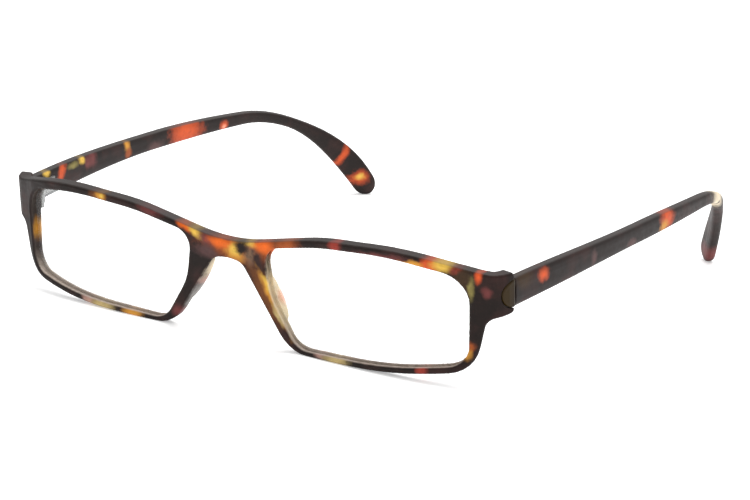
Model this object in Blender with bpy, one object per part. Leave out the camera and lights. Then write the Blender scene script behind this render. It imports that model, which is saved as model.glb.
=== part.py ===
"""Reading glasses with two folding temples, standing open on a table.

Metres, +Z up, lenses facing -Y, the wearer's left side towards +X.
The front is drawn flat: u runs along it from the middle, z is up and depth runs from its face to its back.
It is then bent round its plan curve. Sizes below are in millimetres.
"""

import math

import bmesh
import bpy
from mathutils import Matrix, Vector

MM = 0.001
WELD = 1e-3
SLIT = 0.025
FLOOR_FLAT = 0.12
REST_TILT = 6.0
SETTLE_STEPS = 8

# Plan curve of the front's face: a shallow wrap, a straight run, then a round corner into the side.
WRAP_END = 62.0
WRAP_SQUARE = -1.63e-3
WRAP_FOURTH = 7.06e-7
RUN_LENGTH = 4.4
CORNER_RADIUS = 6.0
SIDE_HEADING = 84.5

# Front outline, right half, as corners (u, z, radius).
SIDE_END = 72.6
FRONT_TOP = [
    (0.0, 15.3, 40.0),
    (26.0, 21.2, 60.0),
    (48.0, 22.4, 80.0),
    (66.5, 18.2, 12.0),
    (SIDE_END, 18.4, 1.2),
]
FRONT_BOTTOM = [
    (SIDE_END, 9.0, 1.0),
    (65.6, 7.9, 3.0),
    (62.9, -4.3, 8.0),
    (42.0, -7.0, 150.0),
    (16.7, -7.6, 9.0),
    (4.0, 11.6, 3.5),
    (0.0, 12.2, 10.0),
]
OPENING = [
    (10.0, 16.1, 4.5),
    (26.0, 19.5, 60.0),
    (44.0, 20.7, 60.0),
    (62.0, 17.5, 7.5),
    (61.6, -2.9, 5.0),
    (42.0, -5.6, 150.0),
    (18.6, -6.4, 5.5),
    (11.7, 4.8, 15.0),
]
FRONT_DEPTH_TOP = 3.2
FRONT_DEPTH_BOTTOM = 2.7
THINNING_Z = (-4.0, 10.0)
THINNING_U = (50.0, 60.0)
JOINT_Z = (4.0, 9.0)
FRONT_EDGE = 0.4
MERGE_POINTS = 0.02
FILLET_STEP = 12.0
FILLET_CHORD = 3.0
SLICE_STEP = 6.0
CORNER_SLICE_STEP = 1.5

# Where the back edges of the openings are chamfered, and of the gap for the nose slanted, at their sides.
EASE_FACING = (0.2, 0.95)
EASE_FIND = 0.8
OPENING_EASE = 0.5
GAP_EASE = 1.5
GAP_EASE_Z = (4.0, 8.0)
GAP_SPAN = (13.0, 12.8)

# Lens and the groove that holds it.
LENS_DEPTH = 1.35
LENS_THICKNESS = 0.9
LENS_RISE = 0.7
LENS_RINGS = [1.0, 0.85, 0.65, 0.45, 0.22]
LENS_SEAT = 0.55
GROOVE_SEAT = 0.85
GROOVE_WIDTH = 1.5

# Nose pad, an elongated swelling behind the nasal side of each rim.
PAD_CENTRE = (9.9, 4.8, 2.9)
PAD_HALF = (1.5, 7.5, 2.6)
PAD_LEAN = 32.0
PAD_FLARE = 7.0

# Temple centre line, from the joint to the tip.
TEMPLE_LENGTH = 142.0
TEMPLE_HEIGHT_Z = 13.3
TEMPLE_PITCH = 1.2
TEMPLE_SAG = 0.0695
TEMPLE_BEND_START = 87.0
TEMPLE_BEND_RADIUS = 57.0
TEMPLE_BEND = 49.0
TEMPLE_BOW_START = 10.0
TEMPLE_BOW = 0.143
TEMPLE_CURL = 0.615
TEMPLE_THICK = 3.0
TEMPLE_TALL = [(0.0, 6.9), (53.0, 4.8), (106.0, 3.0), (133.0, 6.8), (142.0, 6.4)]
TEMPLE_STATIONS = 48
TIP_ROUND = 3.8
TIP_STEPS = 6
TIP_END = 0.02
TIP_THICK = 0.3
BUTT_GAP = 0.35
SECTION_POINTS = 16
SECTION_POWER = 3.2

# Joint, in millimetres from the outer edge of the side's end: inward, back, up.
TONGUE_DEPTH = 3.5
TONGUE_HALF = 3.1
TONGUE_THICK = 1.9
TONGUE_INSET = 0.2
TONGUE_EDGE = 0.25
TANG_LENGTH = 2.4
TANG_HALF = 1.5
TANG_OUTER = 0.9
TANG_INNER = 2.0
TANG_ROOT = 0.6
FIT_GAP = 0.3
CLEAR_CUT = 2.0
PIN_INWARD = 4.9
PIN_BACK = -0.5
PIN_RADIUS = 0.5
BORE_RADIUS = 0.58
KNUCKLE_RADIUS = 1.2
HINGE_HALF = 2.4
MIDDLE_HALF = 0.8
KNUCKLE_GAP = 0.12
LEAF_THICK = 0.7
TEMPLE_LEAF_START = 1.9
TEMPLE_LEAF_LENGTH = 7.5
TEMPLE_LEAF_HALF = 1.7
WEB_END = 2.4
WEB_INSET = 0.05
FRONT_LEAF_LENGTH = 3.4
FRONT_LEAF_END = 0.35
RELIEF_GAP = 0.25
RIVET_HEAD = 0.55
RIVET_HEAD_RISE = 0.25
RIVET_HEAD_BASE = 0.1
RIVET_SHANK = 0.3
RIVET_DEPTH = 1.1
RIVET_HOLE = 0.4
RIVET_HOLE_DEPTH = 1.5
RIVET_SIDES = 12
SCREW_HEAD = 0.95
SCREW_HEAD_BASE = 0.1
SCREW_HEAD_TOP = 0.6
SCREW_SLOT_FLOOR = 0.4
SCREW_SLOT_HALF = 0.12
ROD_SIDES = 24
FRONT_RIVETS = [(-1.9, 1.35), (-1.9, -1.35)]
TEMPLE_RIVETS = [(3.3, 0.0), (6.4, 0.0)]


def clear_scene():
    for item in list(bpy.data.objects):
        bpy.data.objects.remove(item, do_unlink=True)


def make_collection(name, hidden=False):
    group = bpy.data.collections.new(name)
    bpy.context.scene.collection.children.link(group)
    group.hide_render = hidden
    return group


def material(name, colour, roughness, metallic=0.0, alpha=1.0, transmission=0.0):
    made = bpy.data.materials.new(name)
    made.use_nodes = True
    shader = made.node_tree.nodes["Principled BSDF"]
    shader.inputs["Base Color"].default_value = (*colour, 1.0)
    shader.inputs["Roughness"].default_value = roughness
    shader.inputs["Metallic"].default_value = metallic
    shader.inputs["Alpha"].default_value = alpha
    shader.inputs["Transmission Weight"].default_value = transmission
    return made


def make_object(name, mesh, finish=None, group=None):
    made = bpy.data.objects.new(name, mesh)
    (group or PARTS).objects.link(made)
    if finish:
        mesh.materials.clear()
        mesh.materials.append(finish)
    return made


def evaluated(item):
    """A new mesh of the object with its modifiers applied."""
    bpy.context.view_layer.update()
    graph = bpy.context.evaluated_depsgraph_get()
    return bpy.data.meshes.new_from_object(item.evaluated_get(graph))


def bake(item):
    """Turns the object's modifiers into its mesh."""
    mesh = evaluated(item)
    item.modifiers.clear()
    item.data = mesh


def weld(mesh, distance=WELD):
    work = bmesh.new()
    work.from_mesh(mesh)
    bmesh.ops.remove_doubles(work, verts=work.verts, dist=distance)
    bmesh.ops.recalc_face_normals(work, faces=work.faces)
    work.to_mesh(mesh)
    work.free()


def close_slits(mesh):
    """Closes the tiny triangular gaps that a Boolean can leave."""
    work = bmesh.new()
    work.from_mesh(mesh)
    bmesh.ops.remove_doubles(work, verts=work.verts, dist=SLIT * MM)
    rims = [edge for edge in work.edges if edge.is_boundary]
    bmesh.ops.holes_fill(work, edges=rims, sides=4)
    work.to_mesh(mesh)
    work.free()


def shade(item, angle=35.0):
    item.data.shade_smooth()
    item.data.set_sharp_from_angle(angle=math.radians(angle))


def boolean(item, cutter, operation):
    """Joins or cuts item with cutter, which is kept as a hidden helper."""
    step = item.modifiers.new(operation.lower(), "BOOLEAN")
    step.operation = operation
    step.object = cutter
    step.solver = "EXACT"
    bake(item)
    cutter.hide_render = True
    cutter.display_type = "WIRE"
    for group in list(cutter.users_collection):
        group.objects.unlink(cutter)
    CUTTERS.objects.link(cutter)


def mesh_from(work, name):
    bmesh.ops.recalc_face_normals(work, faces=work.faces)
    mesh = bpy.data.meshes.new(name)
    work.to_mesh(mesh)
    work.free()
    return mesh


# Outlines.


def fillet(before, corner, after, radius):
    """The round at one corner of an outline, as points that are near in angle and in distance."""
    towards = (before - corner).normalized()
    away = (after - corner).normalized()
    half = towards.angle(away) / 2
    turn = math.pi - 2 * half
    reach = min(radius / math.tan(half), 0.48 * min((before - corner).length, (after - corner).length))
    radius = reach * math.tan(half)
    centre = corner + (towards + away).normalized() * (radius / math.sin(half))
    start = corner + towards * reach - centre
    side = 1.0 if towards.x * away.y - towards.y * away.x < 0 else -1.0
    steps = max(2, math.ceil(turn / math.radians(FILLET_STEP)), math.ceil(turn * radius / FILLET_CHORD))
    return [
        centre + Matrix.Rotation(side * turn * index / steps, 2) @ start for index in range(steps + 1)
    ]


def spaced(points, step):
    """Adds points so that no run of a closed outline is longer than step."""
    dense = []
    for index, point in enumerate(points):
        following = points[(index + 1) % len(points)]
        count = max(1, math.ceil((following - point).length / step))
        dense += [point.lerp(following, part / count) for part in range(count)]
    return dense


def rounded(corners, step=SLICE_STEP):
    """A closed outline through corners (u, z, radius)."""
    places = [Vector(corner[:2]) for corner in corners]
    points = []
    for index, corner in enumerate(corners):
        after = places[(index + 1) % len(places)]
        points += fillet(places[index - 1], places[index], after, corner[2])
    kept = [point for index, point in enumerate(points) if (point - points[index - 1]).length > MERGE_POINTS]
    return spaced(kept, step)


def front_outline():
    half = FRONT_TOP + FRONT_BOTTOM
    mirrored = [(-u, z, radius) for u, z, radius in half[1:-1]]
    return rounded(half + mirrored[::-1])


def offset(outline, distance):
    """Moves a closed outline outwards; its own direction of travel tells which way that is."""
    area = sum(
        outline[index - 1].x * point.y - point.x * outline[index - 1].y
        for index, point in enumerate(outline)
    )
    sign = 1.0 if area > 0 else -1.0
    moved = []
    for index, point in enumerate(outline):
        along = (outline[(index + 1) % len(outline)] - outline[index - 1]).normalized()
        moved.append(point + Vector((along.y, -along.x)) * sign * distance)
    return moved


def plate(name, outlines, low, high, edge=0.0):
    """A flat piece of the outlines' shape (u, z) between two depths, with its edges rounded by edge."""
    curve = bpy.data.curves.new(name, "CURVE")
    curve.dimensions = "2D"
    curve.fill_mode = "BOTH"
    curve.extrude = (high - low) / 2 - edge
    curve.bevel_depth = edge
    curve.bevel_resolution = 0
    curve.offset = -edge
    for outline in outlines:
        spline = curve.splines.new("POLY")
        spline.points.add(len(outline) - 1)
        spline.use_cyclic_u = True
        for target, point in zip(spline.points, outline):
            target.co = (point.x, point.y, 0.0, 1.0)
    holder = make_object(name + "_curve", curve)
    mesh = evaluated(holder)
    bpy.data.objects.remove(holder)
    bpy.data.curves.remove(curve)
    # Upright, so that the drawing's y is z and its thickness is depth.
    mesh.transform(Matrix.Translation((0, (low + high) / 2, 0)) @ Matrix.Rotation(math.pi / 2, 4, "X"))
    weld(mesh)
    return mesh


# The front's plan curve.


def plan(u):
    """(x, y, heading in radians) of the face at u, for u from 0."""
    x = min(u, WRAP_END)
    y = WRAP_SQUARE * x**2 + WRAP_FOURTH * x**4
    heading = math.atan(2 * WRAP_SQUARE * x + 4 * WRAP_FOURTH * x**3)
    run = min(max(u - WRAP_END, 0.0), RUN_LENGTH)
    x += run * math.cos(heading)
    y += run * math.sin(heading)
    arc = max(u - WRAP_END - RUN_LENGTH, 0.0) / CORNER_RADIUS
    turned = heading + arc
    x += CORNER_RADIUS * (math.sin(turned) - math.sin(heading))
    y += CORNER_RADIUS * (math.cos(heading) - math.cos(turned))
    return x, y, turned


def bent(point):
    """The place of a drawn point (u, depth, z) once the front is bent."""
    side = -1.0 if point.x < 0 else 1.0
    x, y, heading = plan(abs(point.x))
    x -= point.y * math.sin(heading)
    y += point.y * math.cos(heading)
    return Vector((side * x, y, point.z))


def bend(item):
    for vertex in item.data.vertices:
        vertex.co = bent(vertex.co) * MM
    item.data.update()


def slice_upright(mesh, places):
    """Cuts the drawn faces at each u, so that they can follow the bend."""
    work = bmesh.new()
    work.from_mesh(mesh)
    for place in places:
        geometry = work.verts[:] + work.edges[:] + work.faces[:]
        bmesh.ops.bisect_plane(work, geom=geometry, plane_co=(place, 0, 0), plane_no=(1, 0, 0), dist=1e-4)
    work.to_mesh(mesh)
    work.free()


def slice_places():
    places = [SLICE_STEP * index for index in range(1, int(WRAP_END / SLICE_STEP) + 1)]
    corner = WRAP_END + RUN_LENGTH
    while corner < SIDE_END:
        places.append(corner)
        corner += CORNER_SLICE_STEP
    return [-place for place in places] + places


# The front frame.


def share_of(value, span):
    """How far value has come through the span, from 0 to 1."""
    return min(max((value - span[0]) / (span[1] - span[0]), 0.0), 1.0)


def front_depth(u, z):
    """The rims are thinner at the bottom and at their outer sides, below the joint."""
    height = share_of(z, THINNING_Z)
    inward = 1.0 - share_of(abs(u), THINNING_U)
    share = min(height, max(inward, share_of(z, JOINT_Z)))
    return FRONT_DEPTH_BOTTOM + (FRONT_DEPTH_TOP - FRONT_DEPTH_BOTTOM) * share


def side_opening(side):
    outline = rounded(OPENING)
    return [Vector((side * point.x, point.y)) for point in outline]


def tongue_outline(depth, half, steps=10):
    """The half-round notch, as (back, up) points from its lower end to its upper end."""
    return [
        Vector((-depth * math.cos(turn), half * math.sin(turn)))
        for turn in [math.pi * (index / steps - 0.5) for index in range(steps + 1)]
    ]


def notch_cutter(side):
    """Cuts the half-round seat of the tongue into the end of the side, through its whole thickness."""
    arc = tongue_outline(TONGUE_DEPTH + FIT_GAP, TONGUE_HALF + FIT_GAP)
    arc = [Vector((side * (SIDE_END + point.x), TEMPLE_HEIGHT_Z + point.y)) for point in arc]
    tall = TONGUE_HALF + FIT_GAP
    corners = [
        Vector((side * (SIDE_END + CLEAR_CUT), TEMPLE_HEIGHT_Z + tall)),
        Vector((side * (SIDE_END + CLEAR_CUT), TEMPLE_HEIGHT_Z - tall)),
    ]
    mesh = plate("notch", [arc + corners], -CLEAR_CUT, FRONT_DEPTH_TOP + CLEAR_CUT)
    return make_object("cut_notch_" + SIDE_NAMES[side], mesh)


def ease_spots(outline, inward):
    """(place, direction into the plastic, share) for each point, in full where the edge faces sideways."""
    spots = []
    for index, point in enumerate(offset(outline, inward)):
        along = (outline[(index + 1) % len(outline)] - outline[index - 1]).normalized()
        spots.append((outline[index], point - outline[index], share_of(abs(along.y), EASE_FACING)))
    return spots


def gap_spots():
    """The same for the gap for the nose, with the share fading out downwards, where the pads are."""
    wide, tall = GAP_SPAN
    return [
        (place, into, share * share_of(place.y, GAP_EASE_Z))
        for place, into, share in ease_spots(front_outline(), -1.0)
        if abs(place.x) < wide and place.y < tall
    ]


def nearest_spot(spots, place):
    """(direction, share) of the spot beside place; the share is 0 where there is none."""
    spot = min(spots, key=lambda item: (item[0] - place).length)
    return spot[1], spot[2] if (spot[0] - place).length < EASE_FIND else 0.0


def ease_back(mesh):
    openings = ease_spots(side_opening(1), 1.0) + ease_spots(side_opening(-1), 1.0)
    gap = gap_spots()
    for vertex in mesh.vertices:
        if vertex.co.y < FRONT_DEPTH_TOP / 2:
            continue
        place = Vector((vertex.co.x, vertex.co.z))
        into, share = nearest_spot(openings, place)
        if vertex.co.y > FRONT_DEPTH_TOP - FRONT_EDGE / 2:
            place += into * share * OPENING_EASE
        else:
            vertex.co.y -= share * OPENING_EASE
        into, share = nearest_spot(gap, place)
        place += into * share * GAP_EASE
        vertex.co.x = place.x
        vertex.co.z = place.y
    refill_back(mesh)


def refill_back(mesh):
    """Makes the flat back face anew between its shifted edges."""
    work = bmesh.new()
    work.from_mesh(mesh)
    behind = FRONT_DEPTH_TOP - FRONT_EDGE / 2
    caps = [face for face in work.faces if all(vertex.co.y > behind for vertex in face.verts)]
    bmesh.ops.delete(work, geom=caps, context="FACES")
    rims = [edge for edge in work.edges if edge.is_boundary]
    bmesh.ops.triangle_fill(work, use_beauty=True, edges=rims)
    bmesh.ops.recalc_face_normals(work, faces=work.faces)
    work.to_mesh(mesh)
    work.free()


def pad_swelling(side):
    work = bmesh.new()
    bmesh.ops.create_uvsphere(work, u_segments=18, v_segments=12, radius=1.0)
    shape = Matrix.Diagonal((PAD_HALF[0], PAD_HALF[2], PAD_HALF[1], 1.0))
    lean = Matrix.Rotation(math.radians(-PAD_LEAN), 4, "Y")
    flare = Matrix.Rotation(math.radians(-PAD_FLARE), 4, "Z")
    place = Matrix.Translation((PAD_CENTRE[0], PAD_CENTRE[2], PAD_CENTRE[1]))
    bmesh.ops.transform(work, matrix=place @ lean @ flare @ shape, verts=work.verts)
    if side < 0:
        bmesh.ops.transform(work, matrix=Matrix.Diagonal((-1, 1, 1, 1)), verts=work.verts)
    return make_object("join_pad_" + SIDE_NAMES[side], mesh_from(work, "pad"))


def make_front():
    outlines = [front_outline(), side_opening(1), side_opening(-1)]
    mesh = plate("front_frame", outlines, 0.0, FRONT_DEPTH_TOP, FRONT_EDGE)
    ease_back(mesh)
    for vertex in mesh.vertices:
        if vertex.co.y > FRONT_DEPTH_TOP / 2:
            vertex.co.y -= FRONT_DEPTH_TOP - front_depth(vertex.co.x, vertex.co.z)
    front = make_object("front_frame", mesh, TORTOISE)
    for side in (1, -1):
        boolean(front, pad_swelling(side), "UNION")
    for side in (1, -1):
        seat = offset(side_opening(side), GROOVE_SEAT)
        half = GROOVE_WIDTH / 2
        groove = plate("groove", [seat], LENS_DEPTH - half, LENS_DEPTH + half)
        boolean(front, make_object("cut_groove_" + SIDE_NAMES[side], groove), "DIFFERENCE")
        boolean(front, notch_cutter(side), "DIFFERENCE")
    slice_upright(front.data, slice_places())
    bend(front)
    for side in (1, -1):
        for place in FRONT_RIVETS:
            boolean(front, hole_cutter("front", side, place, front_leaf_frame(side)), "DIFFERENCE")
    close_slits(front.data)
    shade(front)
    return front


# Lenses.


def make_lens(side):
    """A domed disc of the opening's shape, a little larger, with its rim in the groove."""
    outline = offset(side_opening(side), LENS_SEAT)
    centre = sum(outline, Vector((0.0, 0.0))) / len(outline)
    work = bmesh.new()
    faces = []
    for half in (-0.5, 0.5):
        rings = []
        for scale in LENS_RINGS:
            rise = LENS_RISE * (1 - scale**2)
            depth = LENS_DEPTH + half * LENS_THICKNESS - rise
            rings.append(
                [work.verts.new((*centre.lerp(point, scale), depth)) for point in outline]
            )
        middle = LENS_DEPTH + half * LENS_THICKNESS - LENS_RISE
        faces.append((rings, work.verts.new((*centre, middle))))
    count = len(outline)
    for rings, middle in faces:
        for outer, inner in zip(rings, rings[1:]):
            for index in range(count):
                after = (index + 1) % count
                work.faces.new((outer[index], outer[after], inner[after], inner[index]))
        for index in range(count):
            work.faces.new((rings[-1][index], rings[-1][(index + 1) % count], middle))
    front_rim = faces[0][0][0]
    back_rim = faces[1][0][0]
    for index in range(count):
        after = (index + 1) % count
        work.faces.new((front_rim[index], front_rim[after], back_rim[after], back_rim[index]))
    for vertex in work.verts:
        vertex.co = Vector((vertex.co.x, vertex.co.z, vertex.co.y))
    lens = make_object("lens_" + SIDE_NAMES[side], mesh_from(work, "lens"), CLEAR)
    bend(lens)
    shade(lens)
    return lens


# The joint's own axes: out from the side, back along the temple, up.


def joint_frame(side):
    """World matrix of the joint, for points (outward, back, up) in millimetres."""
    x, y, _ = plan(SIDE_END)
    turn = Matrix.Rotation(side * math.radians(SIDE_HEADING - 90.0), 4, "Z")
    flip = Matrix.Diagonal((side, 1.0, 1.0, 1.0))
    place = Matrix.Translation((side * x, y, TEMPLE_HEIGHT_Z))
    return Matrix.Scale(MM, 4) @ place @ turn @ flip


def pin_frame(side):
    return joint_frame(side) @ Matrix.Translation((-PIN_INWARD, PIN_BACK, 0.0))


def front_leaf_frame(side):
    """Millimetre axes of the leaf on the front's back face: along it from the corner, away from it, up."""
    run_end = WRAP_END + RUN_LENGTH
    x, y, heading = plan(run_end)
    x -= FRONT_DEPTH_TOP * math.sin(heading)
    y += FRONT_DEPTH_TOP * math.cos(heading)
    flip = Matrix.Diagonal((side, 1.0, 1.0, 1.0))
    place = Matrix.Translation((x, y, TEMPLE_HEIGHT_Z))
    return Matrix.Scale(MM, 4) @ flip @ place @ Matrix.Rotation(heading, 4, "Z")


def box(name, low, high, frame, finish=None, edge=0.0):
    work = bmesh.new()
    bmesh.ops.create_cube(work, size=1.0)
    size = Vector(high) - Vector(low)
    middle = (Vector(high) + Vector(low)) / 2
    placed = Matrix.Translation(middle) @ Matrix.Diagonal((*size, 1))
    bmesh.ops.transform(work, matrix=placed, verts=work.verts)
    if edge:
        bmesh.ops.bevel(work, geom=work.edges[:], offset=edge, segments=1, affect="EDGES")
    bmesh.ops.transform(work, matrix=frame, verts=work.verts)
    return make_object(name, mesh_from(work, name), finish)


def rod(name, radius, low, high, frame, finish=None, sides=ROD_SIDES):
    """An upright cylinder in the given frame, from height low to height high."""
    work = bmesh.new()
    bmesh.ops.create_cone(
        work, cap_ends=True, segments=sides, radius1=radius, radius2=radius, depth=high - low
    )
    place = frame @ Matrix.Translation((0.0, 0.0, (low + high) / 2))
    bmesh.ops.transform(work, matrix=place, verts=work.verts)
    return make_object(name, mesh_from(work, name), finish)


# Temples.


def temple_distances():
    """Even steps along the temple, then steps that follow the round of the tip."""
    plain = TEMPLE_LENGTH - TIP_ROUND
    even = [plain * index / TEMPLE_STATIONS for index in range(TEMPLE_STATIONS + 1)]
    turns = [math.pi / 2 * index / TIP_STEPS for index in range(1, TIP_STEPS + 1)]
    return even + [plain + TIP_ROUND * math.sin(turn) for turn in turns]


def temple_stations():
    """(distance, centre, side direction, up direction) along the temple, in the joint's axes."""
    distances = temple_distances()
    centre = Vector((-TEMPLE_THICK / 2, BUTT_GAP, 0.0))
    stations = []
    for distance, following in zip(distances, distances[1:] + distances[-1:]):
        bend_share = (distance - TEMPLE_BEND_START) / TEMPLE_BEND_RADIUS
        bend_turn = min(max(bend_share, 0.0), math.radians(TEMPLE_BEND))
        pitch = math.radians(TEMPLE_PITCH + TEMPLE_SAG * distance) + bend_turn
        yaw = math.radians(
            TEMPLE_BOW * max(distance - TEMPLE_BOW_START, 0.0)
            + TEMPLE_CURL * max(distance - TEMPLE_BEND_START, 0.0)
        )
        along = Vector((-math.cos(pitch) * math.sin(yaw), math.cos(pitch) * math.cos(yaw), -math.sin(pitch)))
        outward = Vector((math.cos(yaw), math.sin(yaw), 0.0))
        stations.append((distance, centre.copy(), outward, outward.cross(along)))
        centre += along * (following - distance)
    return stations


def smooth_value(table, distance):
    for (start, first), (end, last) in zip(table, table[1:]):
        if distance <= end:
            share = (distance - start) / (end - start)
            share = share * share * (3 - 2 * share)
            return first + (last - first) * share
    return table[-1][1]


def section(tall, thick):
    """A rounded rectangle, as (outward, up) points."""
    points = []
    for index in range(SECTION_POINTS):
        turn = 2 * math.pi * (index + 0.5) / SECTION_POINTS
        across = math.copysign(abs(math.cos(turn)) ** (2 / SECTION_POWER), math.cos(turn))
        upward = math.copysign(abs(math.sin(turn)) ** (2 / SECTION_POWER), math.sin(turn))
        points.append((across * thick / 2, upward * tall / 2))
    return points


def make_temple(side):
    frame = joint_frame(side)
    work = bmesh.new()
    rings = []
    for distance, centre, outward, upward in temple_stations():
        tall = smooth_value(TEMPLE_TALL, distance)
        left = TEMPLE_LENGTH - distance
        close = 1.0
        if left < TIP_ROUND:
            close = math.sqrt(max(1 - (1 - left / TIP_ROUND) ** 2, TIP_END))
        points = section(tall * close, TEMPLE_THICK * (TIP_THICK + (1 - TIP_THICK) * close))
        rings.append([work.verts.new(frame @ (centre + outward * a + upward * b)) for a, b in points])
    for first, second in zip(rings, rings[1:]):
        for index in range(SECTION_POINTS):
            after = (index + 1) % SECTION_POINTS
            work.faces.new((first[index], first[after], second[after], second[index]))
    work.faces.new(rings[0])
    work.faces.new(rings[-1])
    temple = make_object("temple_" + SIDE_NAMES[side], mesh_from(work, "temple"), TORTOISE)
    slot_low = (-TANG_INNER - FIT_GAP, -CLEAR_CUT, -TANG_HALF - FIT_GAP)
    slot_high = (FIT_GAP - TANG_OUTER, TANG_LENGTH + FIT_GAP, TANG_HALF + FIT_GAP)
    boolean(temple, box("cut_slot_" + SIDE_NAMES[side], slot_low, slot_high, frame), "DIFFERENCE")
    for place in TEMPLE_RIVETS:
        boolean(temple, hole_cutter("temple", side, place, temple_leaf_frame(side)), "DIFFERENCE")
    shade(temple)
    return temple


def make_tongue(side):
    """The half-round block between side and temple, with a tang that runs into the temple."""
    arc = tongue_outline(TONGUE_DEPTH, TONGUE_HALF)
    outline = [Vector((side * (SIDE_END + point.x), TEMPLE_HEIGHT_Z + point.y)) for point in arc]
    outer = TONGUE_INSET
    inner = TONGUE_INSET + TONGUE_THICK
    head = plate("tongue", [spaced(outline, 1.0)], outer, inner, TONGUE_EDGE)
    slice_upright(head, slice_places())
    tongue = make_object("hinge_tongue_" + SIDE_NAMES[side], head, OLIVE)
    bend(tongue)
    low = (-TANG_INNER, -TANG_ROOT, -TANG_HALF)
    high = (-TANG_OUTER, TANG_LENGTH, TANG_HALF)
    boolean(tongue, box("join_tang_" + SIDE_NAMES[side], low, high, joint_frame(side)), "UNION")
    shade(tongue)
    return tongue


# Hinge metal.


def temple_leaf_frame(side):
    """Millimetre axes of the leaf on the temple's inner face: back along it, away from it, up."""
    inner = Matrix.Translation((-TEMPLE_THICK, 0.0, 0.0))
    return joint_frame(side) @ inner @ Matrix.Rotation(math.pi / 2, 4, "Z")


def out_of_face(frame, place):
    """The frame of a rivet at place (along, up), with its z axis pointing out of the face."""
    turn = Matrix.Rotation(-math.pi / 2, 4, "X")
    return frame @ Matrix.Translation((place[0], 0.0, place[1])) @ turn


def hole_cutter(name, side, place, frame):
    label = f"cut_{name}_hole_{SIDE_NAMES[side]}_{place[0]}_{place[1]}"
    seat = out_of_face(frame, place)
    return rod(label, RIVET_HOLE, -RIVET_HOLE_DEPTH, CLEAR_CUT, seat, sides=RIVET_SIDES)


def make_rivet(name, side, index, place, frame):
    """A small domed rivet: head above the leaf, shank through it into the plastic."""
    seat = out_of_face(frame, place)
    base = FIT_GAP + LEAF_THICK + RIVET_HEAD_BASE
    label = f"{name}_rivet_{SIDE_NAMES[side]}_{index}"
    rivet = rod(label, RIVET_SHANK, -RIVET_DEPTH, base + RIVET_HEAD_BASE, seat, STEEL, sides=RIVET_SIDES)
    head = rod("join_head_" + label, RIVET_HEAD, base, base + RIVET_HEAD_RISE, seat, sides=RIVET_SIDES)
    boolean(rivet, head, "UNION")
    shade(rivet)
    return rivet


def knuckle(name, side, low, high):
    return rod(name, KNUCKLE_RADIUS, low, high, pin_frame(side))


def bore(name, side):
    return rod(name, BORE_RADIUS, -HINGE_HALF - CLEAR_CUT, HINGE_HALF + CLEAR_CUT, pin_frame(side))


def make_front_leaf(side):
    """The leaf on the front's back face with the upper and lower knuckles."""
    label = SIDE_NAMES[side]
    frame = front_leaf_frame(side)
    low = (-FRONT_LEAF_LENGTH, FIT_GAP, -HINGE_HALF)
    high = (FRONT_LEAF_END, FIT_GAP + LEAF_THICK, HINGE_HALF)
    leaf = box("front_leaf_" + label, low, high, frame, STEEL)
    boolean(leaf, knuckle("join_knuckle_" + label, side, -HINGE_HALF, HINGE_HALF), "UNION")
    middle = MIDDLE_HALF + KNUCKLE_GAP
    relief = KNUCKLE_RADIUS + RELIEF_GAP
    boolean(leaf, rod("cut_middle_" + label, relief, -middle, middle, pin_frame(side)), "DIFFERENCE")
    boolean(leaf, bore("cut_front_bore_" + label, side), "DIFFERENCE")
    for place in FRONT_RIVETS:
        boolean(leaf, hole_cutter("front_leaf", side, place, frame), "DIFFERENCE")
    shade(leaf)
    return leaf


def make_temple_leaf(side):
    """The leaf on the temple's inner face with the middle knuckle."""
    label = SIDE_NAMES[side]
    frame = temple_leaf_frame(side)
    low = (TEMPLE_LEAF_START, FIT_GAP, -TEMPLE_LEAF_HALF)
    high = (TEMPLE_LEAF_LENGTH, FIT_GAP + LEAF_THICK, TEMPLE_LEAF_HALF)
    leaf = box("temple_leaf_" + label, low, high, frame, STEEL)
    web_low = (PIN_BACK, FIT_GAP + WEB_INSET, WEB_INSET - MIDDLE_HALF)
    web_high = (WEB_END, FIT_GAP + LEAF_THICK - WEB_INSET, MIDDLE_HALF - WEB_INSET)
    boolean(leaf, box("join_web_" + label, web_low, web_high, frame), "UNION")
    boolean(leaf, knuckle("join_middle_" + label, side, -MIDDLE_HALF, MIDDLE_HALF), "UNION")
    boolean(leaf, bore("cut_temple_bore_" + label, side), "DIFFERENCE")
    for place in TEMPLE_RIVETS:
        boolean(leaf, hole_cutter("temple_leaf", side, place, frame), "DIFFERENCE")
    shade(leaf)
    return leaf


def make_hinge_screw(side):
    label = SIDE_NAMES[side]
    frame = pin_frame(side)
    base = HINGE_HALF + SCREW_HEAD_BASE
    top = HINGE_HALF + SCREW_HEAD_TOP
    screw = rod("hinge_screw_" + label, PIN_RADIUS, -HINGE_HALF, base + SCREW_HEAD_BASE, frame, STEEL)
    boolean(screw, rod("join_screw_head_" + label, SCREW_HEAD, base, top, frame), "UNION")
    low = (-CLEAR_CUT, -SCREW_SLOT_HALF, HINGE_HALF + SCREW_SLOT_FLOOR)
    high = (CLEAR_CUT, SCREW_SLOT_HALF, HINGE_HALF + CLEAR_CUT)
    boolean(screw, box("cut_screw_slot_" + label, low, high, frame), "DIFFERENCE")
    shade(screw)
    return screw


# Assembly.


def pivot(side, root):
    """An empty on the hinge axis that carries everything of one temple."""
    holder = bpy.data.objects.new("temple_pivot_" + SIDE_NAMES[side], None)
    PARTS.objects.link(holder)
    holder.empty_display_size = 10 * MM
    holder.parent = root
    holder.location = pin_frame(side).translation
    return holder


def carry(item, holder):
    """Parents item to holder, with its mesh moved so that both share one origin."""
    item.data.transform(Matrix.Translation(-holder.location))
    item.parent = holder


def lowest(items):
    return min((item.matrix_world @ vertex.co).z for item in items for vertex in item.data.vertices)


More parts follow.
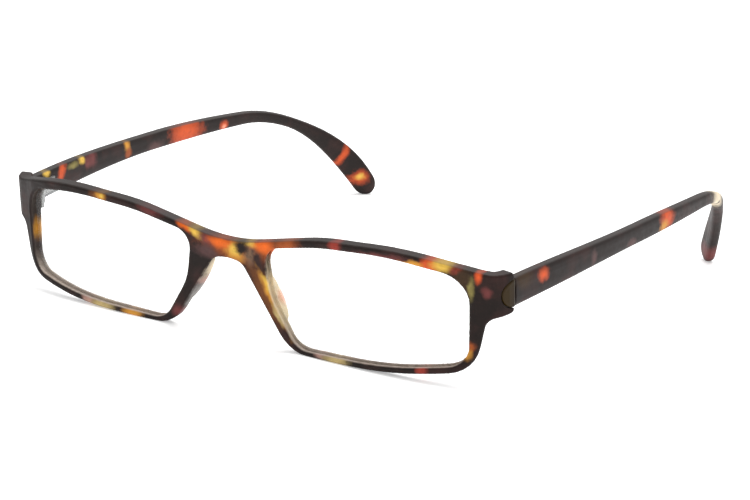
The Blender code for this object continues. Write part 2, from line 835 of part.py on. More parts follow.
def settle(root, front, temples):
    """Tilts the glasses until rims and tips touch the floor, and puts the box's base centre at the origin."""
    root.rotation_euler.x = math.radians(REST_TILT)
    for _ in range(SETTLE_STEPS):
        bpy.context.view_layer.update()
        drop = lowest(temples) - lowest([front])
        root.rotation_euler.x -= math.atan2(drop, TEMPLE_LENGTH * MM)
    bpy.context.view_layer.update()
    parts = [front, *temples]
    depths = [(item.matrix_world @ vertex.co).y for item in parts for vertex in item.data.vertices]
    root.location.y -= (min(depths) + max(depths)) / 2
    root.location.z -= lowest(parts) + FLOOR_FLAT * MM
    bpy.context.view_layer.update()


def flatten_base(item):
    """Cuts the resting piece flat on the floor."""
    to_local = item.matrix_world.inverted()
    work = bmesh.new()
    work.from_mesh(item.data)
    geometry = work.verts[:] + work.edges[:] + work.faces[:]
    normal = to_local.to_3x3() @ Vector((0, 0, 1))
    base = to_local @ Vector((0, 0, 0))
    cut = bmesh.ops.bisect_plane(
        work, geom=geometry, plane_co=base, plane_no=normal, clear_inner=True, dist=1e-7
    )
    edges = [piece for piece in cut["geom_cut"] if isinstance(piece, bmesh.types.BMEdge)]
    bmesh.ops.holes_fill(work, edges=edges, sides=0)
    bmesh.ops.recalc_face_normals(work, faces=work.faces)
    work.to_mesh(item.data)
    work.free()
    weld(item.data, WELD * MM)
    shade(item)


def build():
    root = bpy.data.objects.new("glasses", None)
    PARTS.objects.link(root)
    front = make_front()
    temples = []
    for side in (1, -1):
        fixed = [make_lens(side), make_front_leaf(side), make_hinge_screw(side)]
        moving = [make_temple(side), make_tongue(side), make_temple_leaf(side)]
        for index, place in enumerate(FRONT_RIVETS, start=1):
            fixed.append(make_rivet("front", side, index, place, front_leaf_frame(side)))
        for index, place in enumerate(TEMPLE_RIVETS, start=1):
            moving.append(make_rivet("temple", side, index, place, temple_leaf_frame(side)))
        holder = pivot(side, root)
        for item in moving:
            carry(item, holder)
        for item in fixed:
            item.parent = root
        temples.append(moving[0])
    front.parent = root
    settle(root, front, temples)
    for item in (front, *temples):
        flatten_base(item)


clear_scene()
SIDE_NAMES = {1: "left", -1: "right"}
PARTS = make_collection("reading_glasses")
CUTTERS = make_collection("cutters", hidden=True)
TORTOISE = material("tortoiseshell_plastic", (0.075, 0.045, 0.035), 0.5)
OLIVE = material("olive_plastic", (0.13, 0.1, 0.04), 0.45)
CLEAR = material("clear_lens", (0.95, 0.97, 0.97), 0.02, alpha=0.3, transmission=1.0)
STEEL = material("hinge_steel", (0.72, 0.71, 0.69), 0.3, metallic=1.0)
build()
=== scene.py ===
"""The looks of the reading glasses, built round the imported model.

The plastic pieces and the lenses are fine, soft-edged copies of their CAD nodes, and each rides on the body
of its node. The tortoiseshell is a block of colour patches set in the plastic, so a patch shows on every face
that it reaches. The metal pieces are the CAD nodes themselves. Lengths and places are in millimetres, and the
studio's are in metres.
"""

import math

import bmesh
import bpy
import numpy as np
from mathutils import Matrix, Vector
from mathutils.bvhtree import BVHTree


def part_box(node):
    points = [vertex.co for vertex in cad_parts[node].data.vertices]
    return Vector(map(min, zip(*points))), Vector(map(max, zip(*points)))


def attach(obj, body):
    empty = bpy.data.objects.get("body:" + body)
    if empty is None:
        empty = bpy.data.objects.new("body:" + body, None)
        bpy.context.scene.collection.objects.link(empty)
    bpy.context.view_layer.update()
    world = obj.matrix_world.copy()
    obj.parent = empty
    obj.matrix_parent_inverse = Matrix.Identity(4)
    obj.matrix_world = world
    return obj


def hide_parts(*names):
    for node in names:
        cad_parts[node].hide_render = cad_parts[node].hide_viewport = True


MM = 0.001
SIDES = ("left", "right")
SEAT = "lens_seat"

# Moulding: the grid size of each fine copy, and how many rounds soften its edges.
WELD = 0.001
FRONT_GRID, FRONT_ROUNDS = 0.17, 10
TEMPLE_GRID, TEMPLE_ROUNDS = 0.2, 14
TONGUE_GRID, TONGUE_ROUNDS = 0.1, 8
LENS_GRID, LENS_ROUNDS = 0.2, 4
STEP_IN, STEP_OUT = 0.5, -0.53

# How far the softened pieces are filled out again. The front stops short of the notches at its ends.
FRONT_SWELL = 0.11
FRONT_SWELL_HALF_WIDTH = 63.0
SWELL_FADE = 3.0
TONGUE_SWELL = 0.17
TONGUE_SWELL_BACK = 0.3

# Lenses: how near the plastic of a seat is, and the surface that is fitted through each face.
SEAT_NEAR, SEAT_FAR = 0.3, 0.7
FIT_SPAN = 25.0
FIT_DEGREE = 5
FACE_NORMAL = 0.7

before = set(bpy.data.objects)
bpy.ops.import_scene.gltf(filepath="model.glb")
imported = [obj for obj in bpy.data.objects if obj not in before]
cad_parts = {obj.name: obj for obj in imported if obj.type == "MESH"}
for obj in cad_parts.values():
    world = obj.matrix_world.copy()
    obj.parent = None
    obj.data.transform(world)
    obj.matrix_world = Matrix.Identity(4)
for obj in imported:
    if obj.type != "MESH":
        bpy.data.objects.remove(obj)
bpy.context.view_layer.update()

# Colours, linear.
DARK = (0.013, 0.0080, 0.0068)
SMOKE = (0.032, 0.014, 0.012)
BROWN = (0.045, 0.024, 0.011)
MAUVE = (0.085, 0.042, 0.040)
WINE = (0.140, 0.036, 0.034)
RED = (0.300, 0.040, 0.026)
RUST = (0.330, 0.075, 0.016)
ORANGE = (0.600, 0.085, 0.020)
FLAME = (0.740, 0.130, 0.014)
AMBER = (0.580, 0.260, 0.036)
YELLOW = (0.740, 0.460, 0.075)
OLIVE = (0.220, 0.180, 0.055)
CREAM = (0.740, 0.620, 0.440)
STRAW = (0.470, 0.350, 0.150)
FAWN = (0.170, 0.100, 0.060)
PINK = (0.420, 0.240, 0.200)
SALMON = (0.760, 0.300, 0.190)
# Painted light: the pale tone laid on the low rims and the lens seats.
PAINTED_LIGHT_PALE = (0.430, 0.350, 0.300)
PEARL = (0.270, 0.255, 0.240)
BURNT = (0.150, 0.048, 0.012)
# Painted sheen: the grey laid on faces that look up.
TOP_SHEEN_GREY = (0.044, 0.037, 0.035)

# Patches through the front: x, z, half width, half height, tilt in degrees, colour. Each lies on those above.
FRONT_PATCHES = [
    (4.0, 22.4, 12.5, 3.8, 0, RUST),
    (11.0, 12.6, 3.0, 10.5, -30, BURNT),
    (-36.2, 28.2, 2.8, 2.4, 0, BURNT),
    (-35.4, 28.3, 1.8, 1.3, 0, AMBER),
    (-34.8, 28.4, 0.7, 0.6, 0, YELLOW),
    (-21.4, 27.6, 4.4, 2.0, 12, WINE),
    (-11.9, 25.2, 3.0, 1.3, 32, FLAME),
    (-8.6, 24.0, 3.2, 1.2, 32, YELLOW),
    (-5.6, 22.8, 2.8, 1.8, 20, WINE),
    (-1.6, 22.9, 4.2, 1.6, 0, FLAME),
    (-5.6, 20.0, 4.0, 1.9, 0, MAUVE),
    (2.6, 20.9, 3.4, 2.2, 10, AMBER),
    (2.4, 21.8, 2.2, 1.8, 0, YELLOW),
    (6.0, 23.9, 4.0, 1.1, 0, YELLOW),
    (10.6, 24.0, 3.8, 2.2, 0, FLAME),
    (6.8, 21.2, 2.8, 2.6, 30, FAWN),
    (4.3, 22.7, 2.5, 1.9, 20, DARK),
    (4.3, 22.7, 1.8, 1.3, 20, DARK),
    (8.9, 20.2, 2.1, 3.2, -30, SMOKE),
    (17.0, 25.6, 4.4, 2.4, -10, RUST),
    (30.4, 28.2, 1.7, 2.4, 0, RED),
    (42.0, 27.2, 9.0, 1.2, -2, WINE),
    (50.4, 27.1, 4.6, 0.9, -4, AMBER),
    (53.8, 27.8, 2.6, 2.4, 0, ORANGE),
    (56.3, 27.6, 2.6, 1.7, 8, YELLOW),
    (59.2, 26.8, 1.5, 1.3, 0, RED),
    (60.4, 25.0, 2.8, 3.4, 0, BROWN),
    (63.6, 25.7, 0.9, 1.9, 0, ORANGE),
    (62.3, 22.9, 0.8, 3.0, 0, OLIVE),
    (65.2, 22.2, 1.1, 1.3, 0, WINE),
    (-64.8, 18.5, 3.0, 2.2, 0, SMOKE),
    (-41.4, 1.6, 2.2, 2.0, 0, PINK),
    (-37.0, 1.0, 4.2, 2.2, 0, STRAW),
    (-28.0, 0.8, 3.2, 2.0, 0, AMBER),
    (-14.6, 3.6, 1.8, 2.0, 40, WINE),
    (12.8, 11.2, 1.1, 8.8, -30, AMBER),
    (11.3, 14.9, 0.7, 2.8, -30, YELLOW),
    (14.0, 8.0, 0.8, 3.4, -30, STRAW),
    (15.8, 4.0, 2.2, 2.0, 0, SMOKE),
    (25.2, 1.6, 1.9, 1.8, 0, PINK),
    (29.8, 1.0, 3.8, 2.1, 0, STRAW),
    (51.6, 2.9, 1.7, 1.9, 0, RED),
    (61.6, 9.6, 1.6, 1.5, 0, RUST),
    (61.0, 7.6, 1.6, 1.6, 0, AMBER),
]

# Patches near one surface of the front only: x, y, z, half sizes along x, y and z, tilt in degrees, colour.
FRONT_TINTS = [
    (-12.5, -66.4, 26.4, 7.4, 2.0, 1.3, 12, CREAM),
    (-61.6, -62.6, 14.2, 1.4, 2.6, 3.2, 0, AMBER),
    (-10.6, -64.8, 9.4, 4.5, 4.4, 7.0, 30, PEARL),
    (-6.6, -64.8, 15.6, 4.0, 4.4, 4.4, 30, CREAM),
    (-8.6, -64.6, 12.0, 3.0, 4.2, 1.8, 0, PINK),
    (12.2, -65.2, 13.0, 4.2, 5.4, 12.5, -30, CREAM),
    (12.9, -63.6, 11.6, 2.2, 3.0, 2.4, -24, SALMON),
]

# Patches through each temple: y, z, half length, half height, tilt in degrees, colour.
TEMPLE_PATCHES = {
    "left": [
        (-55.5, 24.4, 3.6, 2.4, 0, BROWN),
        (-48.5, 24.1, 2.2, 1.9, 0, ORANGE),
        (-28.4, 24.0, 1.4, 2.2, 0, MAUVE),
        (-11.0, 24.0, 2.6, 1.3, 0, MAUVE),
        (7.2, 26.4, 4.2, 3.0, 0, ORANGE),
        (5.4, 24.9, 2.6, 1.5, 0, AMBER),
        (66.5, 2.6, 4.0, 3.6, 0, WINE),
    ],
    "right": [
        (-53.2, 25.2, 1.5, 1.5, 0, YELLOW),
        (-47.0, 24.0, 1.6, 3.4, -30, ORANGE),
        (-42.2, 25.2, 2.8, 0.9, 6, OLIVE),
        (-38.2, 25.9, 1.6, 1.5, 0, YELLOW),
        (-36.0, 24.8, 1.6, 2.0, 0, WINE),
        (-34.0, 25.4, 2.2, 2.6, 0, WINE),
        (-19.2, 26.1, 1.5, 2.0, 0, AMBER),
        (-18.8, 24.0, 1.5, 1.6, 0, RUST),
        (-7.4, 24.0, 3.8, 1.7, 0, MAUVE),
        (5.5, 25.8, 7.6, 3.8, 0, ORANGE),
        (21.0, 25.2, 1.8, 1.7, 0, ORANGE),
        (21.0, 25.0, 0.9, 0.9, 0, SALMON),
        (62.0, 11.8, 1.2, 4.4, -25, ORANGE),
        (66.5, 5.2, 2.6, 2.5, 0, ORANGE),
        (66.5, 5.4, 1.4, 1.2, 0, YELLOW),
    ],
}
TEMPLE_TINTS = {
    "left": [
        (42.6, 22.3, 5.2, 9.0, 30, CREAM),
        (43.4, 22.6, 1.6, 0.8, 0, BROWN),
    ],
    "right": [],
}
FRONT_MIDDLE_Y = -67.0
TEMPLE_MIDDLE_X = 66.0
THROUGH = 40.0

# A size is how wide a noise's features are, and a band holds the noise values that the look swings between.
NOISE_BAND = (0.3, 0.7)

# Tortoiseshell. A patch is solid as far as its core and gone past its edge, in shares of its half sizes.
FRONT_GLOSS = 0.13
TEMPLE_GLOSS = 0.19
STIR_SIZE, STIR = 3.0, 1.4
CLOUD_SIZE, CLOUD_BAND = 7.0, (0.42, 0.72)
STREAK_SIZE = 1.3
FRAY, FRAY_BAND = 0.24, (0.25, 0.75)
GRAIN_SIZE, GRAIN_DEPTH, GRAIN_STRENGTH = 0.16, 0.012, 0.5
PATCH_CORE, PATCH_EDGE = 0.2, 1.25
PLASTIC_SHADES = (0.78, 1.15)
PLASTIC_ROUGHNESS = (0.46, 0.58)

# The painted light on faces that look up: a grey sheen high up, paler light low down. Its tone goes by
# height, its strength by the place across the front.
TOP_LIGHT_HEIGHTS = (5.0, 14.0)
TOP_LIGHT_ACROSS, TOP_LIGHT_STRENGTHS = (5.0, 20.0), (0.78, 0.5)
TOP_LIGHT_NORMALS = (0.5, 0.9)

# The lens seats get painted light low down. The tints start where the surface turns away from the front.
SEAT_HEIGHTS, SEAT_LIGHT_STRENGTHS = (4.0, 10.0), (0.85, 0.12)
FRONT_FACE_NORMALS = (-0.85, -0.55)

# Tongue.
TONGUE_NEAR = (0.031, 0.018, 0.004)
TONGUE_FAR = (0.017, 0.010, 0.005)
TONGUE_CLOUD, TONGUE_CLOUD_MOST = (0.036, 0.021, 0.006), 0.45
TONGUE_FADE = (0.6, 3.4)
TONGUE_GLOSS = 0.14
TONGUE_CLOUD_SIZE, TONGUE_BAND = 1.6, (0.35, 0.7)
TONGUE_DEPTH, TONGUE_STRENGTH = 0.02, 0.3
TONGUE_ROUGHNESS = (0.32, 0.44)

# Lens.
LENS_COAT = (0.9, 0.93, 0.94, 1.0)
LENS_CLEAR = (0.985, 0.992, 0.99, 1.0)
LENS_HAZE_SIZE = 4.0
LENS_ROUGHNESS = (0.02, 0.05)
LENS_INDEX = 1.4
LENS_NORMALS = (0.8, 0.93)
LENS_MIRROR = 0.22

# Hinge metal. The steel's colour is darkened as painted shade, for the shade that the hinge sits in.
SHADED_STEEL = (0.20, 0.195, 0.19)
TARNISH = (0.09, 0.08, 0.07)
DRAWN = (1.0, 0.12, 1.0)
LINE_SIZE, LINE_DEPTH, LINE_STRENGTH = 0.12, 0.006, 0.4
TARNISH_SIZE, TARNISH_BAND, TARNISH_MOST = 1.4, (0.45, 0.75), 0.6
STEEL_ROUGHNESS = (0.34, 0.5)

# White table.
TABLE_TONES = ((0.90, 0.90, 0.90), (0.93, 0.93, 0.93))
TABLE_CLOUD_SIZE = 40.0
TABLE_ROUGHNESS = 0.9
TABLE_GLOSS = 0.1
TABLE_GLOW = 0.3

# Studio, in metres. Blender takes the camera's sensor and focal length in millimetres.
WHITE = (1.0, 1.0, 1.0, 1.0)
TABLE_HALF_WIDTH = 6.0
TABLE_DROP = 0.02 * MM
SKY_STRENGTH = 0.85
LIGHT_PLACE = (0.0, 0.35, 0.9)
LIGHT_TARGET = (0.0, 0.0, 0.01)
LIGHT_SIZE = 0.9
LIGHT_POWER = 9.0
SENSOR_WIDTH = 36.0
FOCAL_LENGTH = 122.32
CLIP_START = 0.01
CAMERA_PLACE = (0.32992, -0.51963, 0.17137)
CAMERA_TURN = (75.030, -2.246, 33.404)


# Nodes.


def lengths(values):
    return [value * MM for value in values]


class Wiring:
    """A material's node tree, with short ways to add and join nodes."""

    def __init__(self, name):
        self.material = bpy.data.materials.new(name)
        self.material.use_nodes = True
        self.tree = self.material.node_tree
        self.shader = self.tree.nodes["Principled BSDF"]
        self.output = self.tree.nodes["Material Output"]
        coordinates = self.tree.nodes.new("ShaderNodeTexCoord")
        self.place = coordinates.outputs["Object"]
        self.facing = coordinates.outputs["Normal"]

    def add(self, kind, **settings):
        node = self.tree.nodes.new(kind)
        for key, value in settings.items():
            setattr(node, key, value)
        return node

    def feed(self, socket, value):
        """Sets the socket, or links it where the value is another node's output."""
        if isinstance(value, bpy.types.NodeSocket):
            self.tree.links.new(value, socket)
        else:
            socket.default_value = value

    def math(self, operation, *values):
        node = self.add("ShaderNodeMath", operation=operation)
        for socket, value in zip(node.inputs, values):
            self.feed(socket, value)
        return node.outputs[0]

    def axes(self, vector):
        """The X, Y and Z outputs of a vector."""
        node = self.add("ShaderNodeSeparateXYZ")
        self.feed(node.inputs[0], vector)
        return node.outputs

    def vector(self, operation, *values):
        node = self.add("ShaderNodeVectorMath", operation=operation)
        for socket, value in zip(node.inputs, values):
            self.feed(socket, value)
        return node.outputs["Value" if operation == "LENGTH" else "Vector"]

    def remap(self, value, low, high, to_low, to_high, soft=False):
        node = self.add("ShaderNodeMapRange", interpolation_type="SMOOTHSTEP" if soft else "LINEAR")
        for socket, item in zip(node.inputs, (value, low, high, to_low, to_high)):
            self.feed(socket, item)
        return node.outputs["Result"]

    def noise(self, size, detail=2.0, place=None, roughness=0.5):
        """Noise whose features are about size millimetres wide. Outputs (value, colour)."""
        node = self.add("ShaderNodeTexNoise")
        self.feed(node.inputs["Vector"], place or self.place)
        node.inputs["Scale"].default_value = 1.0 / (size * MM)
        node.inputs["Detail"].default_value = detail
        node.inputs["Roughness"].default_value = roughness
        return node.outputs["Fac"], node.outputs["Color"]

    def mix(self, share, first, second):
        node = self.add("ShaderNodeMix", data_type="RGBA")
        self.feed(node.inputs["Factor"], share)
        for socket, value in zip(node.inputs[6:8], (first, second)):
            self.feed(socket, (*value, 1.0) if isinstance(value, tuple) else value)
        return node.outputs[2]

    def bump(self, height, depth, strength):
        node = self.add("ShaderNodeBump")
        node.inputs["Strength"].default_value = strength
        node.inputs["Distance"].default_value = depth * MM
        self.feed(node.inputs["Height"], height)
        self.feed(self.shader.inputs["Normal"], node.outputs["Normal"])


# Materials.


def warped(wiring):
    """The place in the plastic, stirred a little, so that patches have flowing edges."""
    _, stir = wiring.noise(STIR_SIZE)
    centred = wiring.vector("SUBTRACT", stir, (0.5, 0.5, 0.5))
    shift = wiring.vector("MULTIPLY", centred, (STIR * MM,) * 3)
    return wiring.vector("ADD", wiring.place, shift)


def patch(wiring, place, fray, colour, centre, half, turn, ink, mask=1.0):
    """Lays a soft ellipsoid of ink, frayed at its edge, over the colour so far."""
    node = wiring.add("ShaderNodeMapping", vector_type="TEXTURE")
    wiring.feed(node.inputs["Vector"], place)
    node.inputs["Location"].default_value = lengths(centre)
    node.inputs["Rotation"].default_value = [math.radians(angle) for angle in turn]
    node.inputs["Scale"].default_value = lengths(half)
    away = wiring.vector("LENGTH", node.outputs["Vector"])
    share = wiring.remap(wiring.math("ADD", away, fray), PATCH_CORE, PATCH_EDGE, 1.0, 0.0, soft=True)
    return wiring.mix(wiring.math("MULTIPLY", share, mask), colour, ink)


def paint_top_light(wiring, colour):
    """Paints a grey sheen on the faces that look up, and paler light low down, where light comes through the
    thin rims.
    """
    direction = wiring.axes(wiring.facing)
    place = wiring.axes(wiring.place)
    height = wiring.remap(place["Z"], *lengths(TOP_LIGHT_HEIGHTS), 0.0, 1.0, soft=True)
    ink = wiring.mix(height, PAINTED_LIGHT_PALE, TOP_SHEEN_GREY)
    most = wiring.remap(place["X"], *lengths(TOP_LIGHT_ACROSS), *TOP_LIGHT_STRENGTHS, soft=True)
    return wiring.mix(wiring.remap(direction["Z"], *TOP_LIGHT_NORMALS, 0.0, most, soft=True), colour, ink)


def paint_seat_light(wiring, seat, colour):
    """Paints light on the low plastic that touches a lens, standing in for the light that the ground edge of
    the lens throws on it.
    """
    height = wiring.axes(wiring.place)["Z"]
    low = wiring.remap(height, *lengths(SEAT_HEIGHTS), *SEAT_LIGHT_STRENGTHS, soft=True)
    return wiring.mix(wiring.math("MULTIPLY", seat, low), colour, PAINTED_LIGHT_PALE)


def away_from_front(wiring, seat):
    """1 on the walls, the back and the lens seats, 0 on the front face, which the tints leave alone."""
    backward = wiring.axes(wiring.facing)["Y"]
    turned = wiring.remap(backward, *FRONT_FACE_NORMALS, 0.0, 1.0, soft=True)
    return wiring.math("MAXIMUM", turned, seat)


def tortoiseshell(name, patches, tints, gloss):
    """Soft-touch plastic, near black with translucent-looking patches, with painted light on the faces that
    look up and on the lens seats.
    """
    wiring = Wiring(name)
    place = warped(wiring)
    cloud, _ = wiring.noise(CLOUD_SIZE, detail=3.0)
    colour = wiring.mix(wiring.remap(cloud, *CLOUD_BAND, 0.0, 1.0, soft=True), DARK, SMOKE)
    streaks, _ = wiring.noise(STREAK_SIZE, detail=4.0, roughness=0.6)
    fray = wiring.remap(streaks, *FRAY_BAND, -FRAY, FRAY)
    for centre, half, turn, ink in patches:
        colour = patch(wiring, place, fray, colour, centre, half, turn, ink)
    seat = wiring.add("ShaderNodeAttribute", attribute_name=SEAT).outputs["Fac"]
    # Painted light: a grey sheen on faces that look up, and pale light on the low rims and lens seats.
    colour = paint_seat_light(wiring, seat, paint_top_light(wiring, colour))
    mask = away_from_front(wiring, seat)
    for centre, half, turn, ink in tints:
        colour = patch(wiring, place, fray, colour, centre, half, turn, ink, mask)
    tone = wiring.vector("SCALE", colour)
    wiring.feed(tone.node.inputs["Scale"], wiring.remap(streaks, *NOISE_BAND, *PLASTIC_SHADES))
    wiring.feed(wiring.shader.inputs["Base Color"], tone)
    roughness = wiring.remap(streaks, *NOISE_BAND, *PLASTIC_ROUGHNESS)
    wiring.feed(wiring.shader.inputs["Roughness"], roughness)
    wiring.shader.inputs["Specular IOR Level"].default_value = gloss
    grain, _ = wiring.noise(GRAIN_SIZE)
    wiring.bump(grain, GRAIN_DEPTH, GRAIN_STRENGTH)
    return wiring.material


def front_shell():
    patches = [
        ((x, FRONT_MIDDLE_Y, z), (wide, THROUGH, tall), (0.0, tilt, 0.0), ink)
        for x, z, wide, tall, tilt, ink in FRONT_PATCHES
    ]
    tints = [
        ((x, y, z), (wide, deep, tall), (0.0, tilt, 0.0), ink)
        for x, y, z, wide, deep, tall, tilt, ink in FRONT_TINTS
    ]
    return tortoiseshell("tortoiseshell_front", patches, tints, FRONT_GLOSS)


def temple_shell(side):
    middle = TEMPLE_MIDDLE_X if side == "left" else -TEMPLE_MIDDLE_X
    patches, tints = [
        [
            ((middle, y, z), (THROUGH, long, tall), (tilt, 0.0, 0.0), ink)
            for y, z, long, tall, tilt, ink in group[side]
        ]
        for group in (TEMPLE_PATCHES, TEMPLE_TINTS)
    ]
    return tortoiseshell("tortoiseshell_temple_" + side, patches, tints, TEMPLE_GLOSS)


def olive_plastic(side):
    """The tongue's clear olive plastic, darker towards the temple."""
    wiring = Wiring("olive_plastic_" + side)
    low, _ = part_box("hinge_tongue_" + side)
    start, end = [low.y + length for length in lengths(TONGUE_FADE)]
    share = wiring.remap(wiring.axes(wiring.place)["Y"], start, end, 0.0, 1.0, soft=True)
    colour = wiring.mix(share, TONGUE_NEAR, TONGUE_FAR)
    cloud, _ = wiring.noise(TONGUE_CLOUD_SIZE, detail=3.0)
    colour = wiring.mix(wiring.remap(cloud, *TONGUE_BAND, 0.0, TONGUE_CLOUD_MOST), colour, TONGUE_CLOUD)
    wiring.feed(wiring.shader.inputs["Base Color"], colour)
    wiring.feed(wiring.shader.inputs["Roughness"], wiring.remap(cloud, *NOISE_BAND, *TONGUE_ROUGHNESS))
    wiring.shader.inputs["Specular IOR Level"].default_value = TONGUE_GLOSS
    wiring.bump(cloud, TONGUE_DEPTH, TONGUE_STRENGTH)
    return wiring.material


def clear_plastic():
    """A thin clear lens. It passes light straight on, and its faces mirror a little, more at a low angle."""
    wiring = Wiring("clear_lens")
    coat = wiring.shader
    coat.inputs["Base Color"].default_value = LENS_COAT
    coat.inputs["Metallic"].default_value = 1.0
    haze, _ = wiring.noise(LENS_HAZE_SIZE)
    wiring.feed(coat.inputs["Roughness"], wiring.remap(haze, *NOISE_BAND, *LENS_ROUGHNESS))
    passing = wiring.add("ShaderNodeBsdfTransparent")
    passing.inputs["Color"].default_value = LENS_CLEAR
    mirror = wiring.add("ShaderNodeFresnel")
    mirror.inputs["IOR"].default_value = LENS_INDEX
    both = wiring.add("ShaderNodeMixShader")
    across = wiring.math("ABSOLUTE", wiring.axes(wiring.facing)["Y"])
    face = wiring.remap(across, *LENS_NORMALS, 0.0, LENS_MIRROR, soft=True)
    wiring.feed(both.inputs[0], wiring.math("MULTIPLY", mirror.outputs[0], face))
    wiring.feed(both.inputs[1], passing.outputs[0])
    wiring.feed(both.inputs[2], coat.outputs[0])
    wiring.feed(wiring.output.inputs["Surface"], both.outputs[0])
    return wiring.material


def steel():
    """Plated hinge metal with fine drawn lines and a little tarnish, its colour darkened as painted shade."""
    wiring = Wiring("hinge_steel")
    stretch = wiring.vector("MULTIPLY", wiring.place, DRAWN)
    lines, _ = wiring.noise(LINE_SIZE, detail=3.0, place=stretch)
    spots, _ = wiring.noise(TARNISH_SIZE, detail=4.0, roughness=0.6)
    share = wiring.remap(spots, *TARNISH_BAND, 0.0, TARNISH_MOST, soft=True)
    wiring.feed(wiring.shader.inputs["Base Color"], wiring.mix(share, SHADED_STEEL, TARNISH))
    wiring.shader.inputs["Metallic"].default_value = 1.0
    wiring.feed(wiring.shader.inputs["Roughness"], wiring.remap(lines, *NOISE_BAND, *STEEL_ROUGHNESS))
    wiring.bump(lines, LINE_DEPTH, LINE_STRENGTH)
    return wiring.material


def white_table():
    wiring = Wiring("white_table")
    cloud, _ = wiring.noise(TABLE_CLOUD_SIZE)
    wiring.feed(wiring.shader.inputs["Base Color"], wiring.mix(cloud, *TABLE_TONES))
    wiring.shader.inputs["Roughness"].default_value = TABLE_ROUGHNESS
    wiring.shader.inputs["Specular IOR Level"].default_value = TABLE_GLOSS
    wiring.shader.inputs["Emission Color"].default_value = WHITE
    wiring.shader.inputs["Emission Strength"].default_value = TABLE_GLOW
    return wiring.material


# Pieces.


def link(piece):
    bpy.context.scene.collection.objects.link(piece)
    return piece


def apply_modifiers(piece):
    bpy.context.view_layer.update()
    graph = bpy.context.evaluated_depsgraph_get()
    made = bpy.data.meshes.new_from_object(piece.evaluated_get(graph))
    piece.modifiers.clear()
    piece.data = made


def relax(mesh, rounds):
    """Rounds the edges off. Each step in is followed by one out, so that thin rims keep their thickness."""
    points = np.zeros(len(mesh.vertices) * 3)
    mesh.vertices.foreach_get("co", points)
    points = points.reshape(-1, 3)
    edges = np.zeros(len(mesh.edges) * 2, int)
    mesh.edges.foreach_get("vertices", edges)
    first, last = edges.reshape(-1, 2).T
    count = np.bincount(edges, minlength=len(points))
    for factor in (STEP_IN, STEP_OUT) * rounds:
        total = [
            np.bincount(first, points[last, axis], len(points))
            + np.bincount(last, points[first, axis], len(points))
            for axis in range(3)
        ]
        points += factor * (np.stack(total, axis=1) / count[:, None] - points)
    mesh.vertices.foreach_set("co", points.ravel())
    mesh.update()


def moulded(node, name, grid, rounds):
    """A fine copy of a CAD node with its edges softened, as a moulded piece has them."""
    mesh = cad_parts[node].data.copy()
    work = bmesh.new()
    work.from_mesh(mesh)
    bmesh.ops.remove_doubles(work, verts=work.verts, dist=WELD * MM)
    work.to_mesh(mesh)
    work.free()
    piece = link(bpy.data.objects.new(name, mesh))
    fine = piece.modifiers.new("fine", "REMESH")
    fine.mode = "VOXEL"
    fine.voxel_size = grid * MM
    apply_modifiers(piece)
    relax(piece.data, rounds)
    piece.data.shade_smooth()
    return piece


def mark_seats(piece):
    """Stores 1 on the points next to a lens, falling to 0 a little further off."""
    graph = bpy.context.evaluated_depsgraph_get()
    trees = [BVHTree.FromObject(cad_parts["lens_" + side], graph) for side in SIDES]
    seat = piece.data.attributes.new(SEAT, "FLOAT", "POINT")
    for vertex, value in zip(piece.data.vertices, seat.data):
        away = min(tree.find_nearest(vertex.co)[3] for tree in trees) / MM
        value.value = min(max((SEAT_FAR - away) / (SEAT_FAR - SEAT_NEAR), 0.0), 1.0)


def dress(piece, body, node, finish):
    """Gives a new piece its finish and its body, and hides the CAD node that it stands for."""
    piece.data.materials.clear()
    piece.data.materials.append(finish)
    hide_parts(node)
    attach(piece, body)


def swell(piece, distance, back=0.0, half_width=math.inf):
    """Fills a piece out, and its back further, up to half_width from the middle. It stays above the table."""
    mesh = piece.data
    normals = [vertex.normal.copy() for vertex in mesh.vertices]
    for vertex, normal in zip(mesh.vertices, normals):
        share = min(max((half_width - abs(vertex.co.x / MM)) / SWELL_FADE, 0.0), 1.0)
        vertex.co += normal * share * distance * MM
        vertex.co.y += max(normal.y, 0.0) * back * MM
        vertex.co.z = max(vertex.co.z, 0.0)
    mesh.update()


def terms(x, z):
    """The powers of x and z, and their products, up to the degree of the fit."""
    powers = [(i, j) for i in range(FIT_DEGREE + 1) for j in range(FIT_DEGREE + 1 - i)]
    return np.stack([x**i * z**j for i, j in powers], axis=1)


def polish(piece):
    """Lays both faces of a lens on smooth curved surfaces fitted through them."""
    mesh = piece.data
    points = np.array([vertex.co for vertex in mesh.vertices]) / MM
    normals = np.array([vertex.normal for vertex in mesh.vertices])
    x = (points[:, 0] - points[:, 0].mean()) / FIT_SPAN
    z = (points[:, 2] - points[:, 2].mean()) / FIT_SPAN
    for facing in (-1, 1):
        chosen = normals[:, 1] * facing > FACE_NORMAL
        shape = terms(x[chosen], z[chosen])
        weights = np.linalg.lstsq(shape, points[chosen, 1], rcond=None)[0]
        points[chosen, 1] = shape @ weights
    for vertex, point in zip(mesh.vertices, points):
        vertex.co = Vector(point * MM)
    mesh.update()


def paint(node, finish):
    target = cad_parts[node]
    target.data.materials.clear()
    target.data.materials.append(finish)


def make_front():
    front = moulded("front_frame", "front_moulding", FRONT_GRID, FRONT_ROUNDS)
    mark_seats(front)
    swell(front, FRONT_SWELL, half_width=FRONT_SWELL_HALF_WIDTH)
    dress(front, "front", "front_frame", front_shell())


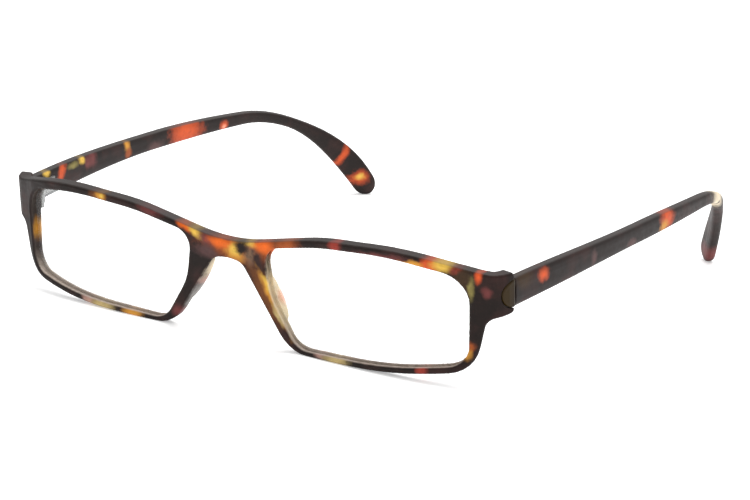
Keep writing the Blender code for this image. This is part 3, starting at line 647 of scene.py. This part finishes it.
def make_temple(side):
    body = "temple_" + side
    temple = moulded("temple_" + side, "temple_moulding_" + side, TEMPLE_GRID, TEMPLE_ROUNDS)
    dress(temple, body, "temple_" + side, temple_shell(side))
    tongue = moulded("hinge_tongue_" + side, "tongue_block_" + side, TONGUE_GRID, TONGUE_ROUNDS)
    swell(tongue, TONGUE_SWELL, TONGUE_SWELL_BACK)
    dress(tongue, body, "hinge_tongue_" + side, olive_plastic(side))


def make_lens(side, finish):
    lens = moulded("lens_" + side, "clear_lens_" + side, LENS_GRID, LENS_ROUNDS)
    polish(lens)
    dress(lens, "front", "lens_" + side, finish)


def make_hinge(side, metal):
    nodes = ["front_leaf_" + side, "temple_leaf_" + side, "hinge_screw_" + side]
    nodes += [f"{part}_rivet_{side}_{index}" for part in ("front", "temple") for index in (1, 2)]
    for node in nodes:
        paint(node, metal)


def make_pieces():
    metal = steel()
    lens_finish = clear_plastic()
    make_front()
    for side in SIDES:
        make_temple(side)
        make_lens(side, lens_finish)
        make_hinge(side, metal)


# Studio.


def make_floor():
    work = bmesh.new()
    bmesh.ops.create_grid(work, x_segments=1, y_segments=1, size=TABLE_HALF_WIDTH)
    mesh = bpy.data.meshes.new("table_top")
    work.to_mesh(mesh)
    work.free()
    floor = link(bpy.data.objects.new("table_top", mesh))
    floor.location.z = -TABLE_DROP
    mesh.materials.append(white_table())


def make_light():
    world = bpy.data.worlds.new("studio")
    bpy.context.scene.world = world
    world.use_nodes = True
    sky = world.node_tree.nodes["Background"]
    sky.inputs["Color"].default_value = WHITE
    sky.inputs["Strength"].default_value = SKY_STRENGTH
    lamp = bpy.data.lights.new("overhead", "AREA")
    lamp.shape = "DISK"
    lamp.size = LIGHT_SIZE
    lamp.energy = LIGHT_POWER
    light = link(bpy.data.objects.new("overhead", lamp))
    light.location = LIGHT_PLACE
    aim = Vector(LIGHT_TARGET) - Vector(LIGHT_PLACE)
    light.rotation_euler = aim.to_track_quat("-Z", "Y").to_euler()
    bpy.context.scene.view_settings.view_transform = "Standard"


def make_camera():
    lens = bpy.data.cameras.new("camera")
    lens.sensor_width = SENSOR_WIDTH
    lens.lens = FOCAL_LENGTH
    lens.clip_start = CLIP_START
    camera = link(bpy.data.objects.new("camera", lens))
    camera.location = CAMERA_PLACE
    camera.rotation_euler = [math.radians(angle) for angle in CAMERA_TURN]
    bpy.context.scene.camera = camera


make_camera()
make_light()
make_floor()
make_pieces()
